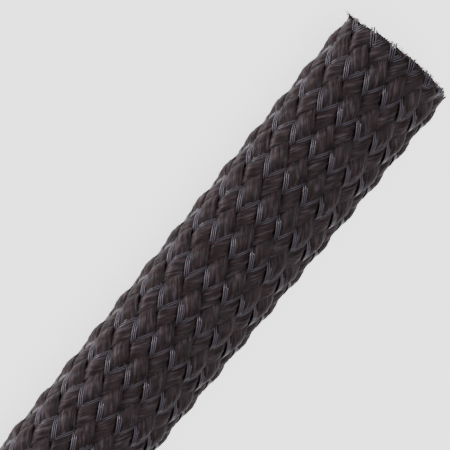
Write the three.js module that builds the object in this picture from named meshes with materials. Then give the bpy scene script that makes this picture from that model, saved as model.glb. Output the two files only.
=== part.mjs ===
// Braided cable sleeve: a cut length of hollow textile braid, empty, lying on its flatter side.
//
// Millimetres, +Z up. The sleeve runs along X, its lowest floats rest on Z = 0, and the origin
// is the middle of its underside. The yarns of both directions are interlaced over one and
// under one, so the wall is one connected body. Its outer face carries every float of the
// braid as a ridge laid along its yarn, with the pits between the yarns around it.

import * as THREE from "three";

// The length and the outer oval, measured over the floats
const LENGTH = 304.8;
const BODY_WIDTH = 17.8;
const BODY_HEIGHT = 12.0;

// A cut end lies wider and lower than the rest. It starts to spread at one distance from the
// cut and is fully spread at another.
const END_WIDTH = 18.7;
const END_HEIGHT = 11.6;
const SPREAD_START = 62;
const SPREAD_LENGTH = 47;

// The wall: the depth of the pits, and what is left under them
const PIT_DEPTH = 0.75;
const WALL_UNDER_PITS = 0.7;

// The braid: yarns in each direction, the length that one over-and-under takes along the
// sleeve, and the length of the ridge on each float
const YARNS_EACH_WAY = 14;
const BRAID_REPEAT = 5.64;
const RIDGE_LENGTH = 1.9;

// How far beyond the cut at +X the middle of the next floats would lie
const NEXT_FLOAT = 1.7;

// How far the lowest floats are pressed flat by the floor
const REST_FLAT = 0.1;

// Steps along the bore's face in each spread end
const BORE_STEPS = 5;

const SLEEVE_COLOUR = 0x1c1a1b;

const wallThickness = PIT_DEPTH + WALL_UNDER_PITS;
const columns = 2 * YARNS_EACH_WAY;
const rows = 4 * Math.round(LENGTH / (2 * BRAID_REPEAT));
const rowStep = LENGTH / rows;
const columnStep = 1 / columns;
const nextFloat = NEXT_FLOAT / rowStep;

// The oval at a depth below the floats, from the middle of the underside towards +Y
function oval(halfWidth, halfHeight) {
  const start = -Math.PI / 2;
  return new THREE.EllipseCurve(0, 0, halfWidth, halfHeight, start, start + 2 * Math.PI);
}

// 0 in the body of the sleeve, 1 where a cut end is fully spread
function spreadAt(x) {
  const fromCut = LENGTH / 2 - Math.abs(x);
  return 1 - THREE.MathUtils.smoothstep(fromCut, SPREAD_START - SPREAD_LENGTH, SPREAD_START);
}

// The point at x, turn (a share of the way round the oval) and depth below the floats
function wallPoint(x, turn, depth) {
  const spread = spreadAt(x);
  const halfWidth = THREE.MathUtils.lerp(BODY_WIDTH, END_WIDTH, spread) / 2;
  const height = THREE.MathUtils.lerp(BODY_HEIGHT, END_HEIGHT, spread);
  const halfHeight = (height + REST_FLAT) / 2;
  const place = THREE.MathUtils.euclideanModulo(turn, 1);
  const point = oval(halfWidth - depth, halfHeight - depth).getPointAt(place);
  return new THREE.Vector3(x, point.x, Math.max(point.y + height - halfHeight, 0));
}

// X of the two cuts, first and last, and of the rows of floats between them
function rowX(i) {
  if (i === 0 || i === rows + 1) {
    return Math.sign(i - 1) * LENGTH / 2;
  }
  return (i - 1 + nextFloat) * rowStep - LENGTH / 2;
}

// Half of a ridge, as a share of the step from one crossing of the yarns to the next
function ridgeShare() {
  const around = oval(BODY_WIDTH / 2, BODY_HEIGHT / 2).getLength() * columnStep;
  return RIDGE_LENGTH / 2 / Math.hypot(rowStep, around);
}

// A closed mesh that is filled point by point and face by face
class Shell {
  constructor() {
    this.points = [];
    this.faces = [];
  }

  add(point) {
    this.points.push(point.x, point.y, point.z);
    return this.points.length / 3 - 1;
  }

  // A fan of triangles round the first corner
  addFan(corners) {
    for (let k = 1; k < corners.length - 1; k += 1) {
      this.faces.push(corners[0], corners[k], corners[k + 1]);
    }
  }

  toGeometry() {
    const geometry = new THREE.BufferGeometry();
    geometry.setAttribute("position", new THREE.Float32BufferAttribute(this.points, 3));
    geometry.setIndex(this.faces);
    geometry.computeVertexNormals();
    return geometry;
  }
}

// Rows and columns of the braid meet at a float where their sum is odd, and at a pit where
// it is even. Yarns that lie on top in even columns lean one way and those in odd columns lean
// the other way. A float gives the two ends of its ridge, low X first, and a pit gives one
// point. The rows at the two cuts have no ridges, so that the cuts are flat.
function addOuterPoints(shell) {
  const share = ridgeShare();
  const grid = [];
  for (let i = 0; i <= rows + 1; i += 1) {
    const x = rowX(i);
    const atCut = i === 0 || i === rows + 1;
    grid.push([]);
    for (let j = 0; j < columns; j += 1) {
      const turn = j * columnStep;
      const isFloat = (i + j) % 2 === 1;
      if (!isFloat) {
        grid[i].push([shell.add(wallPoint(x, turn, PIT_DEPTH))]);
      } else if (atCut) {
        grid[i].push([shell.add(wallPoint(x, turn, 0))]);
      } else {
        const lean = j % 2 === 0 ? -1 : 1;
        const ends = [-share, share].map((reach) =>
          wallPoint(x + reach * rowStep, turn + lean * reach * columnStep, 0));
        grid[i].push(ends.map((end) => shell.add(end)));
      }
    }
  }
  return grid;
}

// The corners of one cell, in order, starting with the float of which the cell meets only one
// end. The cell's own corner is (i, j), and it reaches to (i + 1, j + 1).
function cellCorners(grid, i, j) {
  const next = (j + 1) % columns;
  const evenColumn = j % 2 === 0;
  const low = (ends) => [ends[0]];
  const high = (ends) => [ends[ends.length - 1]];
  const reversed = (ends) => [...ends].reverse();
  const a = grid[i][j];
  const b = grid[i + 1][j];
  const c = grid[i + 1][next];
  const d = grid[i][next];
  if ((i + j) % 2 === 1) {
    return evenColumn ? [...low(c), ...d, ...a, ...b] : [...high(a), ...b, ...reversed(c), ...d];
  }
  return evenColumn ? [...low(b), ...c, ...reversed(d), ...a] : [...high(d), ...a, ...b, ...c];
}

// The fan keeps its first corner, and the others are reversed so that the face looks outwards
function addOuterFace(shell, grid) {
  for (let i = 0; i <= rows; i += 1) {
    for (let j = 0; j < columns; j += 1) {
      const [first, ...others] = cellCorners(grid, i, j);
      shell.addFan([first, ...others.reverse()]);
    }
  }
}

// Places along the bore where its face has a ring of points
function boreStations() {
  const fromCut = [0];
  for (let k = 0; k <= BORE_STEPS; k += 1) {
    fromCut.push(SPREAD_START - SPREAD_LENGTH * (1 - k / BORE_STEPS));
  }
  const left = fromCut.map((distance) => -LENGTH / 2 + distance);
  const right = left.map((x) => -x).reverse();
  return [...left, ...right];
}

function addBoreFace(shell) {
  const rings = boreStations().map((x) => {
    const ring = [];
    for (let j = 0; j < columns; j += 1) {
      ring.push(shell.add(wallPoint(x, j * columnStep, wallThickness)));
    }
    return ring;
  });
  for (let i = 0; i < rings.length - 1; i += 1) {
    for (let j = 0; j < columns; j += 1) {
      const next = (j + 1) % columns;
      shell.addFan([rings[i][j], rings[i + 1][j], rings[i + 1][next], rings[i][next]]);
    }
  }
  return rings;
}

// The two cuts, each a flat ring from the outer face to the bore
function addCutFaces(shell, grid, rings) {
  const lastRow = grid[rows + 1];
  const lastRing = rings[rings.length - 1];
  for (let j = 0; j < columns; j += 1) {
    const next = (j + 1) % columns;
    const atStart = [grid[0][j][0], rings[0][j], rings[0][next], grid[0][next][0]];
    const atEnd = [lastRow[j][0], lastRow[next][0], lastRing[next], lastRing[j]];
    shell.addFan(atStart);
    shell.addFan(atEnd);
  }
}

function braidedSleeve() {
  const shell = new Shell();
  const grid = addOuterPoints(shell);
  addOuterFace(shell, grid);
  const rings = addBoreFace(shell);
  addCutFaces(shell, grid, rings);
  const material = new THREE.MeshStandardMaterial({
    color: SLEEVE_COLOUR,
    roughness: 0.75,
    metalness: 0,
    flatShading: true,
  });
  const mesh = new THREE.Mesh(shell.toGeometry(), material);
  mesh.name = "braided_sleeve";
  return mesh;
}

const sleeve = new THREE.Group();
sleeve.add(braidedSleeve());

export default sleeve;
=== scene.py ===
import math

import bpy
import numpy as np
from mathutils import Matrix, Vector


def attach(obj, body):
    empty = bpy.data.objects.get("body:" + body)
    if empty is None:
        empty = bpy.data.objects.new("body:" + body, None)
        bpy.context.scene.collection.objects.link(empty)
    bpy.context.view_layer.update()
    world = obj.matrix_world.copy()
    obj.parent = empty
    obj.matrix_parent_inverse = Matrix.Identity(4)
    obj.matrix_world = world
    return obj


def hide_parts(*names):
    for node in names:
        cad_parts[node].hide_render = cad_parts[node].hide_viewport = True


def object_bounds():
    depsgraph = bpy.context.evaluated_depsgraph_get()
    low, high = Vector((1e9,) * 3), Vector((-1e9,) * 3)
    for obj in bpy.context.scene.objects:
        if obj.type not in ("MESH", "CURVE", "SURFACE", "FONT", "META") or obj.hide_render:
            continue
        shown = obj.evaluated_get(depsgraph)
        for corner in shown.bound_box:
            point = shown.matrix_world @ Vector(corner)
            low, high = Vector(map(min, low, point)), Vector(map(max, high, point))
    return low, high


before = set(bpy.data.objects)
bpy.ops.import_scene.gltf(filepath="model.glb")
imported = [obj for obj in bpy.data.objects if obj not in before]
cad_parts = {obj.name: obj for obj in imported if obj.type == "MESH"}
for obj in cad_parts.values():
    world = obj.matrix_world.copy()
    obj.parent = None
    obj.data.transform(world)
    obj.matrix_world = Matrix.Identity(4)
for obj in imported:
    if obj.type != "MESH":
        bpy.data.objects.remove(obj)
cad_low, cad_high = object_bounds()

MM = 0.001
NODE = "braided_sleeve"
SEED = 5434

# The sleeve, in millimetres, as in the CAD model. A cut end lies wider and lower than the rest.
LENGTH = (cad_high.x - cad_low.x) / MM
BODY_WIDTH = 17.8
BODY_HEIGHT = 12.0
END_WIDTH = 18.7
END_HEIGHT = 11.6
SPREAD_START = 62.0
SPREAD_LENGTH = 47.0
REST_FLAT = 0.1
WALL = 1.45

# The braid, as in the CAD model. A yarn lies on top for one half repeat and below for the next.
YARNS_EACH_WAY = 14
BRAID_REPEAT = 5.64
HALF_REPEATS = 4 * round(LENGTH / (2 * BRAID_REPEAT))
HALF_REPEAT = LENGTH / HALF_REPEATS

# How far beyond the cut at +X the middle of the next floats would lie
NEXT_FLOAT = 1.7

# One yarn: a flat fibre tow with three monofilaments beside it. A value for each way says how
# the yarns wound to the right and those wound to the left differ.
TOW_WIDTH = 2.58
TOW_THICKNESS = 0.8
MONO_DIAMETER = 0.25

# Places of the tow and of the monofilaments across the yarn
TOW_PLACE = -0.34
MONO_PLACES = {"right": (0.84, 1.09, 1.34), "left": (0.86, 1.11, 1.36)}

# How far they rise and fall, and how much lower the whole yarn lies
TOW_LIFT = {"right": 0.46, "left": 0.38}
MONO_LIFT = {"right": 0.45, "left": 0.36}
SINK = {"right": 0.0, "left": 0.18}

# How far along the sleeve the monofilaments' floats are shifted from the tow's, in half repeats
MONO_SHIFT = {"right": -0.2, "left": 0.1}

# How far a tow is pushed sideways between its floats, which turns them round the sleeve
TOW_TURN = {"right": 0.15, "left": 0.07}

# A tow's section: how far its edges droop on a float, how much wider and thicker it is there
# than where it crosses, and its girth in widths
TOW_DROOP = 0.18
TOW_WIDENING = 0.04
TOW_THICKENING = 0.14
TOW_GIRTH = 2.1

# How strongly the tops and bottoms of a yarn's rise and fall are drawn out
WAVE_FLATTENING = 0.12

# Sideways wander of a tow and of its width, and its rates in radians to the half repeat
TOW_WANDER = 0.06
WIDTH_WANDER = 0.05
WANDER_RATES = (0.9, 2.3, 5.1)

# How far beyond the cut the tows and the monofilaments end, from the least to the most, and
# how far the monofilaments spread there
TOW_ENDS = (-0.3, 0.05)
MONO_ENDS = {"right": (0.0, 0.35), "left": (-0.1, 0.2)}
MONO_SPLAY = 0.09

# The cut at +X bulges a little: how far its top stands out beyond its edges
CUT_BULGE = 0.9

# All stray fibres: how much thinner their tips are, how deep their roots lie, and the powers of
# the way along them by which they rise and curl
STRAND_TAPER = 0.5
STRAND_SINK = 0.03
RISE_POWER = 1.5
CURL_POWER = 2

# The share of the tow's width that hairs and frayed fibres grow from
ROOT_SPREAD = 0.9

# Hairs on the floats of each yarn. They stay within a part of a half repeat from the middle of
# a float, and off the cuts.
HAIRS = 90
HAIR_RADIUS = 0.018
HAIR_REACH = 0.35
HAIR_MARGIN = 0.2
HAIR_LENGTH = (0.5, 1.5)
HAIR_RISE = (0.02, 0.25)
HAIR_CURL = 0.25

# Frayed fibres at each cut end of a yarn. They start a part of a half repeat inside the cut, at
# heights that are shares of the tow's own.
FRAYED = 30
FRAYED_RADIUS = 0.03
FRAYED_START = 0.1
FRAYED_HEIGHT = (-0.8, 0.9)
FRAYED_LENGTH = (0.25, 0.8)
FRAYED_RISE_MIDDLE = 0.04
FRAYED_RISE_SPREAD = 0.08
FRAYED_CURL = 0.12

# Tufts at the cut at +X, by the number of their yarn, which is wound to the right: a pointed
# one at the +Y edge, and a blunt one at the -Y edge. The width is a share of the tow's, and the
# fan is how much the fibres curl with their place across.
TUFT_FIBRES = 55
TUFT_START = (0.05, 0.2)
TUFTS = {
    1: {"width": 0.8, "length": (0.45, 0.8), "rise": (0.55, 1.5), "fan": 0.7, "curl": 0.06},
    8: {"width": 0.45, "length": (0.05, 0.3), "rise": (-0.05, 0.12), "fan": 0.0, "curl": 0.2},
}

# Mesh steps: rings to the half repeat, or points along a stray fibre, and sides of the tube
TOW_STEPS = 6
TOW_SIDES = 12
MONO_STEPS = 4
MONO_SIDES = 5
STRAND_POINTS = 5
STRAND_SIDES = 3

chance = np.random.default_rng(SEED)


# The oval surface that the yarns follow

OVAL_SAMPLES = 720


def arc_length_table(half_width, half_height):
    """The angle round the oval at even shares of its length, from the middle of the underside."""
    angle = np.linspace(-np.pi / 2, 1.5 * np.pi, OVAL_SAMPLES + 1)
    y, z = half_width * np.cos(angle), half_height * np.sin(angle)
    share = np.concatenate([[0.0], np.cumsum(np.hypot(np.diff(y), np.diff(z)))])
    return share / share[-1], angle


def half_sizes(spread):
    """Half the width and half the height of the oval, from the body (0) to a cut end (1)."""
    half_width = (BODY_WIDTH + (END_WIDTH - BODY_WIDTH) * spread) / 2
    half_height = (BODY_HEIGHT + (END_HEIGHT - BODY_HEIGHT) * spread + REST_FLAT) / 2
    return half_width, half_height


BODY_TABLE = arc_length_table(*half_sizes(0.0))
END_TABLE = arc_length_table(*half_sizes(1.0))
AROUND = 2 * np.pi * math.sqrt(sum(size * size for size in half_sizes(0.0)) / 2)
PITCH = AROUND / YARNS_EACH_WAY
LEAN = math.atan2(PITCH, 2 * HALF_REPEAT)


def spread_at(x):
    """0 in the body of the sleeve, 1 where a cut end is fully spread."""
    from_cut = LENGTH / 2 - np.abs(x)
    share = np.clip((from_cut - SPREAD_START + SPREAD_LENGTH) / SPREAD_LENGTH, 0, 1)
    return 1 - share * share * (3 - 2 * share)


def on_surface(x, around, depth):
    """Points at x, at a distance round the sleeve from the middle of its underside, and at a
    depth below the tops of the floats. Takes arrays of one shape, in millimetres."""
    turn = np.mod(around / AROUND, 1.0)
    spread = spread_at(x)
    body = np.interp(turn, *BODY_TABLE)
    angle = body + (np.interp(turn, *END_TABLE) - body) * spread
    half_width, half_height = half_sizes(spread)
    normal_y = half_height * np.cos(angle)
    normal_z = half_width * np.sin(angle)
    size = np.hypot(normal_y, normal_z)
    y = half_width * np.cos(angle) - depth * normal_y / size
    z = half_height * np.sin(angle) - depth * normal_z / size + half_height - REST_FLAT
    return np.stack([x, y, np.maximum(z, 0.0)], axis=-1)


# The yarns

MIDDLE_DEPTH = WALL / 2
NEXT_ROW = NEXT_FLOAT / HALF_REPEAT


class Yarn:
    """One yarn of the braid, wound to the right or to the left. Its own coordinates are its row,
    which is the distance along the sleeve in half repeats, and the distance across the yarn."""

    def __init__(self, way, number):
        self.way = way
        self.sign = -1 if way == "right" else 1
        self.number = number
        self.first_row = (0 if way == "right" else 1) + NEXT_ROW
        self.wander = [chance.uniform(0, 2 * np.pi, len(WANDER_RATES)) for _ in range(2)]
        self.last_row = HALF_REPEATS + CUT_BULGE * self.top_share_at_cut() / HALF_REPEAT

    def top_share_at_cut(self):
        """1 where the yarn meets the cut at +X on the sleeve's top, and 0 from its edges down."""
        pitches_round = self.number + self.sign * (HALF_REPEATS - NEXT_ROW) / 2
        return max(-math.cos(2 * math.pi * pitches_round / YARNS_EACH_WAY), 0)

    def phase(self, row, across):
        """0 where the yarn lies on top, and pi where it lies below."""
        skew = math.cos(2 * LEAN) / (PITCH * math.cos(LEAN))
        return np.pi * (row - self.first_row - self.sign * across * skew)

    def drift(self, row, index, size):
        """A slow sideways wander, so that no two floats are alike."""
        starts = self.wander[index]
        waves = [np.sin(rate * row + start) for rate, start in zip(WANDER_RATES, starts)]
        return size * sum(waves) / len(waves)

    def place(self, row, across, height, lift, turn, shift):
        """Points at a row, a distance across and a height over the yarn's own middle, which
        rises and falls by the lift. The turn pushes it sideways between the floats, and the
        shift moves its rise along the sleeve."""
        wave = float_wave(self.phase(row - shift, across))
        turned = turn * np.sin(np.pi * (row - self.first_row))
        across = across - self.sign * turned + self.drift(row, 0, TOW_WANDER)
        row = row - self.sign * across * cut_share(row) * math.sin(LEAN) / HALF_REPEAT
        x = row * HALF_REPEAT - LENGTH / 2 + self.sign * across * math.sin(LEAN)
        wound = self.number * PITCH + self.sign * (row - NEXT_ROW) * PITCH / 2
        depth = MIDDLE_DEPTH + SINK[self.way] - lift * wave - height
        return on_surface(x, wound - across * math.cos(LEAN), depth)

    def place_in_tow(self, row, across, height):
        """Points placed from the middle of the yarn's tow."""
        lift, turn = TOW_LIFT[self.way], TOW_TURN[self.way]
        return self.place(row, TOW_PLACE + across, height, lift, turn, 0.0)


def cut_share(row):
    """1 at the cuts, where a yarn's end is cut across the sleeve, and 0 a row away from them."""
    from_cut = np.minimum(row, HALF_REPEATS - row)
    return np.clip(1 - from_cut, 0, 1) ** 2


def float_wave(phase):
    """A wave with longer tops and bottoms than a sine's."""
    return (np.cos(phase) - WAVE_FLATTENING * np.cos(3 * phase)) / (1 - WAVE_FLATTENING)


def rows_for(yarn, steps, first_end, last_end):
    """Rows from cut to cut, with the ends these distances beyond the cuts."""
    start = -first_end / HALF_REPEAT
    end = yarn.last_row + last_end / HALF_REPEAT
    return np.linspace(start, end, steps * HALF_REPEATS + 1)[:, None]


def around_tube(sides):
    """Angles round a tube, with the first one again at the end for the UVs."""
    return np.linspace(0, 2 * np.pi, sides + 1)[None, :]


# Each fibre has its own place in the noise: steps along it, in millimetres, from yarn to yarn,
# from one winding to the other and from one monofilament to the next, the range of the stray
# fibres, and the part of each step that goes sideways
UV_YARN_STEP = 37.0
UV_WAY_STEP = {"right": 0.0, "left": 500.0}
UV_MONO_STEP = 13.0
UV_STRAND_RANGE = (0, 90)
UV_SIDEWAYS = 0.31


def fibre_uvs(yarn, along, around, offset):
    """Millimetres along and around a fibre, moved to its own place in the noise."""
    offset = offset + UV_YARN_STEP * yarn.number + UV_WAY_STEP[yarn.way]
    return np.stack(np.broadcast_arrays(along + offset, around + UV_SIDEWAYS * offset), axis=-1)


def tow_tube(yarn):
    """The fibre tow: points by tube, ring and side, and UVs with one more side."""
    row = rows_for(yarn, TOW_STEPS, *chance.uniform(*TOW_ENDS, 2))
    angle = around_tube(TOW_SIDES)
    wave = np.cos(yarn.phase(row, TOW_PLACE))
    width = TOW_WIDTH / 2 * (1 + TOW_WIDENING * wave**2) + yarn.drift(row, 1, WIDTH_WANDER)
    thickness = TOW_THICKNESS / 2 * (1 - TOW_THICKENING + TOW_THICKENING * wave**2)
    height = thickness * np.sin(angle) - TOW_DROOP * wave * np.cos(angle) ** 2
    points = yarn.place_in_tow(row + 0 * angle, yarn.sign * width * np.cos(angle), height)
    along = row * HALF_REPEAT / math.cos(LEAN)
    uvs = fibre_uvs(yarn, along, angle / (2 * np.pi) * TOW_GIRTH * TOW_WIDTH, 0.0)
    return points[None, :, :-1], uvs[None]


def mono_tube(yarn, index):
    """One of the three monofilaments, as in tow_tube."""
    lift, shift = MONO_LIFT[yarn.way], MONO_SHIFT[yarn.way]
    row = rows_for(yarn, MONO_STEPS, *chance.uniform(*MONO_ENDS[yarn.way], 2))
    from_middle = index - 1
    splay = (from_middle + chance.uniform(-0.5, 0.5)) * MONO_SPLAY
    angle = around_tube(MONO_SIDES)
    radius = MONO_DIAMETER / 2
    across = MONO_PLACES[yarn.way][index] + splay * cut_share(row)
    across = across + yarn.sign * radius * np.cos(angle)
    height = radius * np.sin(angle) + 0 * row
    points = yarn.place(row + 0 * angle, across, height, lift, 0.0, shift)
    along = row * HALF_REPEAT / math.cos(LEAN)
    uvs = fibre_uvs(yarn, along, angle * radius, UV_MONO_STEP * (index + 1))
    return points[None, :, :-1], uvs[None]


# Small steps along the yarn, in half repeats, and out of it that give a root's directions
AHEAD_STEP = 0.05
OUT_STEP = 0.1


def unit(vectors):
    return vectors / np.linalg.norm(vectors, axis=-1, keepdims=True)


def strand_lines(yarn, roots, heading, length, rise, curl):
    """Middle lines of stray fibres, and the direction out of the sleeve at their roots."""
    row, across, height = roots
    root = yarn.place_in_tow(row, across, height)
    ahead = unit(yarn.place_in_tow(row + AHEAD_STEP * heading, across, height) - root)
    out = unit(yarn.place_in_tow(row, across, height + OUT_STEP) - root)
    aside = np.cross(ahead, out)
    share = np.linspace(0, 1, STRAND_POINTS)[None, :, None]
    lines = (
        root[:, None]
        + ahead[:, None] * length[:, None, None] * share
        + out[:, None] * (rise[:, None, None] * share**RISE_POWER - STRAND_SINK)
        + aside[:, None] * curl[:, None, None] * share**CURL_POWER
    )
    return lines, out


def strand_tubes(yarn, roots, heading, length, rise, curl, radius):
    """Stray fibres from roots in the tow (row, across, height), which head along it, and then
    rise from the sleeve and curl sideways. All sizes are arrays with a value for each."""
    lines, out = strand_lines(yarn, roots, heading, length, rise, curl)
    tangent = unit(np.gradient(lines, axis=1))
    side = unit(np.cross(tangent, out[:, None]))
    other = np.cross(tangent, side)
    share = np.linspace(0, 1, STRAND_POINTS)[None, :, None]
    angle = around_tube(STRAND_SIDES)
    ring = radius * (1 - STRAND_TAPER * share[..., None])
    turned = angle[0][None, None, :, None]
    points = lines[:, :, None] + ring * (
        np.cos(turned) * side[:, :, None] + np.sin(turned) * other[:, :, None]
    )
    points[..., 2] = np.maximum(points[..., 2], 0.0)
    along = length[:, None, None] * share
    offset = chance.uniform(*UV_STRAND_RANGE, len(length))[:, None, None]
    uvs = fibre_uvs(yarn, along, angle[None] * radius, offset)
    return points[:, :, :-1], uvs


def tow_surface_height(across):
    """Height of a float's surface over the yarn's own middle, which falls towards its edges."""
    share = np.clip(np.abs(across) / (TOW_WIDTH / 2), 0, 1)
    return TOW_THICKNESS / 2 * np.sqrt(1 - share**2) - TOW_DROOP * share**2


def hairs(yarn):
    """Fibres that stand off the floats."""
    floats = chance.integers(0, HALF_REPEATS // 2, HAIRS) * 2
    row = yarn.first_row + floats + chance.uniform(-HAIR_REACH, HAIR_REACH, HAIRS)
    row = np.clip(row, HAIR_MARGIN, HALF_REPEATS - HAIR_MARGIN)
    across = chance.uniform(-1, 1, HAIRS) * ROOT_SPREAD * TOW_WIDTH / 2
    roots = row, across, tow_surface_height(across)
    heading = chance.choice([-1, 1], HAIRS)
    length = chance.uniform(*HAIR_LENGTH, HAIRS)
    rise = chance.uniform(*HAIR_RISE, HAIRS)
    curl = chance.normal(0, HAIR_CURL, HAIRS)
    return strand_tubes(yarn, roots, heading, length, rise, curl, HAIR_RADIUS)


def frayed_end(yarn, heading):
    """Fibres that spread from one cut end of the tow."""
    end = yarn.last_row if heading > 0 else 0
    row = np.full(FRAYED, end - heading * FRAYED_START)
    across = chance.uniform(-1, 1, FRAYED) * ROOT_SPREAD * TOW_WIDTH / 2
    height = tow_surface_height(across) * chance.uniform(*FRAYED_HEIGHT, FRAYED)
    length = chance.uniform(*FRAYED_LENGTH, FRAYED)
    rise = chance.normal(FRAYED_RISE_MIDDLE, FRAYED_RISE_SPREAD, FRAYED)
    curl = chance.normal(0, FRAYED_CURL, FRAYED)
    headings = np.full(FRAYED, heading)
    roots = row, across, height
    return strand_tubes(yarn, roots, headings, length, rise, curl, FRAYED_RADIUS)


def tuft(yarn, shape):
    """A bunch of fibres that stand off the sleeve's edge at the cut end at +X."""
    row = yarn.last_row - chance.uniform(*TUFT_START, TUFT_FIBRES)
    across = chance.uniform(-1, 1, TUFT_FIBRES) * shape["width"] * TOW_WIDTH / 2
    height = tow_surface_height(across) * chance.uniform(0, 1, TUFT_FIBRES)
    length = chance.uniform(*shape["length"], TUFT_FIBRES)
    rise = chance.uniform(*shape["rise"], TUFT_FIBRES)
    curl = shape["fan"] * across + chance.normal(0, shape["curl"], TUFT_FIBRES)
    heading = np.ones(TUFT_FIBRES)
    roots = row, across, height
    return strand_tubes(yarn, roots, heading, length, rise, curl, FRAYED_RADIUS)


# Meshes

def tube_faces(points, uv, start):
    """Quads and end caps of tubes, as indices from a start, with their UVs."""
    tubes, rings, sides = points.shape[:3]
    index = start + np.arange(tubes * rings * sides).reshape(tubes, rings, sides)
    after = np.roll(index, -1, axis=2)
    quads = np.stack([index[:, :-1], after[:, :-1], after[:, 1:], index[:, 1:]], axis=-1)
    quad_uvs = np.stack([uv[:, :-1, :-1], uv[:, :-1, 1:], uv[:, 1:, 1:], uv[:, 1:, :-1]], 3)
    caps = np.stack([index[:, 0, ::-1], index[:, -1]], axis=1)
    cap_uvs = np.stack([uv[:, 0, -2::-1], uv[:, -1, :-1]], axis=1)
    return (quads, quad_uvs), (caps, cap_uvs)


def join_tubes(batches):
    """Vertices, corners, corners of each face, UVs and material slots of tubes with caps."""
    vertices, corners, totals, uvs, slots = [], [], [], [], []
    start = 0
    for (points, uv), slot in batches:
        for faces, face_uvs in tube_faces(points, uv, start):
            face_corners = faces.shape[-1]
            face_count = faces.size // face_corners
            corners.append(faces.ravel())
            totals.append(np.full(face_count, face_corners))
            uvs.append(face_uvs.reshape(-1, 2))
            slots.append(np.full(face_count, slot))
        vertices.append(points.reshape(-1, 3))
        start += len(vertices[-1])
    return [np.concatenate(rows) for rows in (vertices, corners, totals, uvs, slots)]


def build_mesh(name, batches, materials):
    """One object from batches of tubes, each with its material slot."""
    vertices, corners, totals, uvs, slots = join_tubes(batches)
    mesh = bpy.data.meshes.new(name)
    mesh.vertices.add(len(vertices))
    mesh.vertices.foreach_set("co", (vertices * MM).astype(np.float32).ravel())
    mesh.loops.add(len(corners))
    mesh.loops.foreach_set("vertex_index", corners.astype(np.int32))
    mesh.polygons.add(len(totals))
    starts = np.concatenate([[0], np.cumsum(totals)[:-1]])
    mesh.polygons.foreach_set("loop_start", starts.astype(np.int32))
    mesh.polygons.foreach_set("material_index", slots.astype(np.int32))
    layer = mesh.uv_layers.new(name="fibre")
    layer.data.foreach_set("uv", uvs.astype(np.float32).ravel())
    for material in materials:
        mesh.materials.append(material)
    mesh.update(calc_edges=True)
    mesh.validate()
    mesh.polygons.foreach_set("use_smooth", np.ones(len(mesh.polygons), dtype=bool))
    piece = bpy.data.objects.new(name, mesh)
    bpy.context.scene.collection.objects.link(piece)
    return piece


# Materials

# Noise cycles to the millimetre along and around the fibres, and where each noise starts
BUNDLE_SCALE = (0.3, 2.6, 1)
FIBRE_SCALE = (0.5, 5.0, 1)
MONO_SCALE = (1.2, 6.0, 1)
BUNDLE_OFFSET = (3.1, 5.27, 0)
FIBRE_OFFSET = (11.7, 19.89, 0)
MONO_OFFSET = (5.3, 9.01, 0)
NOISE_DETAIL = 2

# Depth of the relief
BUNDLE_BUMP_MM = 0.16
FIBRE_BUMP_MM = 0.1

# Colours by noise level. The tow's colours are those of its bundles, and the shades multiply
# them from fibre to fibre.
TOW_COLOURS = [
    (0.36, (0.0068, 0.002, 0.0018)),
    (0.5, (0.0148, 0.0055, 0.0052)),
    (0.66, (0.028, 0.017, 0.019)),
]
FIBRE_SHADES = [(0.36, (0.2, 0.18, 0.18)), (0.64, (1.9, 2.3, 2.45))]
MONO_COLOURS = [(0.35, (0.014, 0.012, 0.0165)), (0.7, (0.034, 0.029, 0.04))]

# Gloss. A tow spreads a highlight across its fibres and keeps it short along them, which takes
# the anisotropy a quarter turn from the fibres.
TOW_GLOSS = {
    "Roughness": 0.52,
    "Specular IOR Level": 0.4,
    "Specular Tint": (1, 0.91, 0.98, 1),
    "Anisotropic": 0.95,
    "Anisotropic Rotation": 0.25,
}
MONO_GLOSS = {
    "Roughness": 0.3,
    "Specular IOR Level": 0.88,
    "Specular Tint": (1, 0.9, 1, 1),
}

# White and softly lit from within, like a light table, as the photograph's ground is
FLOOR_LOOK = {
    "Base Color": (0.9, 0.9, 0.9, 1),
    "Roughness": 0.9,
    "Specular IOR Level": 0.1,
    "Emission Color": (1, 1, 1, 1),
    "Emission Strength": 2.0,
}


def set_inputs(node, values):
    for name, value in values.items():
        node.inputs[name].default_value = value


def new_material(name):
    material = bpy.data.materials.new(name)
    material.use_nodes = True
    tree = material.node_tree
    shader = tree.nodes["Principled BSDF"]
    return material, tree, shader


def fibre_coordinates(tree):
    """The yarns' own coordinates, in millimetres along and around each fibre."""
    uv = tree.nodes.new("ShaderNodeUVMap")
    uv.uv_map = "fibre"
    return uv


def stretched_noise(tree, uv, scale, offset):
    """Noise that is long along the fibres."""
    mapping = tree.nodes.new("ShaderNodeMapping")
    set_inputs(mapping, {"Scale": scale, "Location": offset})
    noise = tree.nodes.new("ShaderNodeTexNoise")
    noise.noise_dimensions = "2D"
    set_inputs(noise, {"Scale": 1.0, "Detail": NOISE_DETAIL})
    tree.links.new(uv.outputs["UV"], mapping.inputs["Vector"])
    tree.links.new(mapping.outputs["Vector"], noise.inputs["Vector"])
    return noise


def ramp(tree, noise, stops):
    """Colours by the noise's level."""
    node = tree.nodes.new("ShaderNodeValToRGB")
    elements = node.color_ramp.elements
    elements[0].position, elements[0].color = stops[0][0], (*stops[0][1], 1)
    elements[1].position, elements[1].color = stops[-1][0], (*stops[-1][1], 1)
    for position, colour in stops[1:-1]:
        elements.new(position).color = (*colour, 1)
    tree.links.new(noise.outputs["Fac"], node.inputs["Fac"])
    return node


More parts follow.
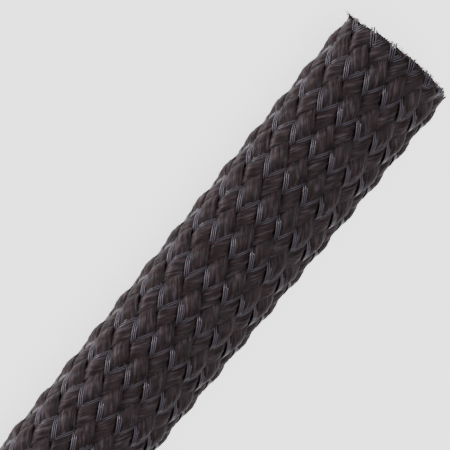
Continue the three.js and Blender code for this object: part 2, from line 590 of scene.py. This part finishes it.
def multiply_colours(tree, first, second, target):
    mix = tree.nodes.new("ShaderNodeMix")
    mix.data_type = "RGBA"
    mix.blend_type = "MULTIPLY"
    mix.inputs["Factor"].default_value = 1.0
    tree.links.new(first.outputs["Color"], mix.inputs["A"])
    tree.links.new(second.outputs["Color"], mix.inputs["B"])
    tree.links.new(mix.outputs["Result"], target)


def add_bump(tree, shader, bundles, fibres):
    """Relief of the bundles and of the fibres in them."""
    relief = tree.nodes.new("ShaderNodeMath")
    relief.operation = "MULTIPLY_ADD"
    relief.inputs[1].default_value = FIBRE_BUMP_MM / BUNDLE_BUMP_MM
    tree.links.new(fibres.outputs["Fac"], relief.inputs[0])
    tree.links.new(bundles.outputs["Fac"], relief.inputs[2])
    bump = tree.nodes.new("ShaderNodeBump")
    set_inputs(bump, {"Strength": 1.0, "Distance": BUNDLE_BUMP_MM * MM})
    tree.links.new(relief.outputs["Value"], bump.inputs["Height"])
    tree.links.new(bump.outputs["Normal"], shader.inputs["Normal"])


def align_to_fibres(tree, shader):
    """Gives the anisotropy the fibres' direction."""
    tangent = tree.nodes.new("ShaderNodeTangent")
    tangent.direction_type = "UV_MAP"
    tangent.uv_map = "fibre"
    tree.links.new(tangent.outputs["Tangent"], shader.inputs["Tangent"])


def fibre_material():
    """Fluffy multifilament: near-black brown, with lighter and darker bundles of fibres."""
    material, tree, shader = new_material("fibre_tow")
    uv = fibre_coordinates(tree)
    bundles = stretched_noise(tree, uv, BUNDLE_SCALE, BUNDLE_OFFSET)
    fibres = stretched_noise(tree, uv, FIBRE_SCALE, FIBRE_OFFSET)
    colours = ramp(tree, bundles, TOW_COLOURS)
    shades = ramp(tree, fibres, FIBRE_SHADES)
    multiply_colours(tree, colours, shades, shader.inputs["Base Color"])
    add_bump(tree, shader, bundles, fibres)
    align_to_fibres(tree, shader)
    set_inputs(shader, TOW_GLOSS)
    return material


def mono_material():
    """Smooth monofilament: a cooler grey, with highlights along it."""
    material, tree, shader = new_material("monofilament")
    streaks = stretched_noise(tree, fibre_coordinates(tree), MONO_SCALE, MONO_OFFSET)
    colours = ramp(tree, streaks, MONO_COLOURS)
    tree.links.new(colours.outputs["Color"], shader.inputs["Base Color"])
    set_inputs(shader, MONO_GLOSS)
    return material


def floor_material():
    material, _, shader = new_material("pale_floor")
    set_inputs(shader, FLOOR_LOOK)
    return material


# The camera, placed as the photograph was taken

IMAGE_PIXELS = 450
PIXELS_PER_MM = 7.4
CUT_END_PIXEL = (397, 58)
AXIS_ANGLE = math.radians(50.7)
VIEW_TILT = math.radians(26.0)
CAMERA_DISTANCE = 600.0
SENSOR_MM = 36.0
CLIP_RANGE = (0.01, 100)


def camera_axes():
    """Right, up and backward directions of the camera, in the sleeve's frame."""
    back = Vector((0, math.sin(VIEW_TILT), math.cos(VIEW_TILT)))
    along = Vector((1, 0, 0))
    across = back.cross(along)
    right = math.cos(AXIS_ANGLE) * along - math.sin(AXIS_ANGLE) * across
    up = math.sin(AXIS_ANGLE) * along + math.cos(AXIS_ANGLE) * across
    return right, up, back


def picture_centre():
    """The point in millimetres that lies in the picture's middle."""
    right, up, _ = camera_axes()
    end_centre = Vector((LENGTH / 2, 0, END_HEIGHT / 2))
    half = IMAGE_PIXELS / 2
    offset_right = (CUT_END_PIXEL[0] - half) / PIXELS_PER_MM
    offset_up = (half - CUT_END_PIXEL[1]) / PIXELS_PER_MM
    return end_centre - offset_right * right - offset_up * up


def add_camera():
    right, up, back = camera_axes()
    data = bpy.data.cameras.new("camera")
    data.sensor_width = SENSOR_MM
    data.lens = SENSOR_MM * CAMERA_DISTANCE * PIXELS_PER_MM / IMAGE_PIXELS
    data.clip_start, data.clip_end = CLIP_RANGE
    camera = bpy.data.objects.new("camera", data)
    bpy.context.scene.collection.objects.link(camera)
    place = Matrix.Translation((picture_centre() + back * CAMERA_DISTANCE) * MM)
    camera.matrix_world = place @ Matrix((right, up, back)).transposed().to_4x4()
    bpy.context.scene.camera = camera


# The stage: a pale floor and soft light

FLOOR_REACH = 4.0
SKY_STRENGTH = 0.7

# Lights are disks, with distances and sizes in metres. The key light's direction is given by
# how far it lies to the right, up and back in the picture.
KEY_RIGHT = -0.98
KEY_UP = 0.34
KEY_BACK = 0.5
KEY_LIGHT = {"distance": 0.9, "size": 0.36, "power": 7.0}
TOP_LIGHT = {"distance": 1.2, "size": 1.2, "power": 5.0}


def add_floor():
    reach = FLOOR_REACH
    corners = [(-reach, -reach, 0), (reach, -reach, 0), (reach, reach, 0), (-reach, reach, 0)]
    mesh = bpy.data.meshes.new("floor")
    mesh.from_pydata(corners, [], [(0, 1, 2, 3)])
    mesh.materials.append(floor_material())
    floor = bpy.data.objects.new("floor", mesh)
    bpy.context.scene.collection.objects.link(floor)


def add_area_light(name, direction, distance, size, power):
    """A disk of light that looks at the middle of the picture."""
    data = bpy.data.lights.new(name, "AREA")
    data.shape = "DISK"
    data.size = size
    data.energy = power
    light = bpy.data.objects.new(name, data)
    bpy.context.scene.collection.objects.link(light)
    toward = direction.normalized()
    light.location = picture_centre() * MM + toward * distance
    light.rotation_mode = "QUATERNION"
    light.rotation_quaternion = toward.to_track_quat("Z", "Y")


def add_lights():
    right, up, back = camera_axes()
    key_direction = back * KEY_BACK + right * KEY_RIGHT + up * KEY_UP
    add_area_light("key", key_direction, **KEY_LIGHT)
    add_area_light("top", Vector((0, 0, 1)), **TOP_LIGHT)


def add_sky():
    world = bpy.data.worlds.new("studio")
    world.use_nodes = True
    background = world.node_tree.nodes["Background"]
    set_inputs(background, {"Color": (1, 1, 1, 1), "Strength": SKY_STRENGTH})
    bpy.context.scene.world = world


# The sleeve, piece by piece

FIBRE_SLOT = 0
MONO_SLOT = 1


def add_yarn(way, number, materials):
    """One yarn as a piece of its own, in place of a part of the solid wall."""
    yarn = Yarn(way, number)
    batches = [(tow_tube(yarn), FIBRE_SLOT)]
    for index in range(len(MONO_PLACES[way])):
        batches.append((mono_tube(yarn, index), MONO_SLOT))
    batches.append((hairs(yarn), FIBRE_SLOT))
    batches.append((frayed_end(yarn, 1), FIBRE_SLOT))
    batches.append((frayed_end(yarn, -1), FIBRE_SLOT))
    if way == "right" and number in TUFTS:
        batches.append((tuft(yarn, TUFTS[number]), FIBRE_SLOT))
    piece = build_mesh(f"yarn_{way}_{number + 1:02d}", batches, materials)
    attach(piece, "root")
    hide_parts(NODE)


def add_yarns():
    materials = [fibre_material(), mono_material()]
    for way in ("right", "left"):
        for number in range(YARNS_EACH_WAY):
            add_yarn(way, number, materials)


add_camera()
add_floor()
add_sky()
add_lights()
add_yarns()
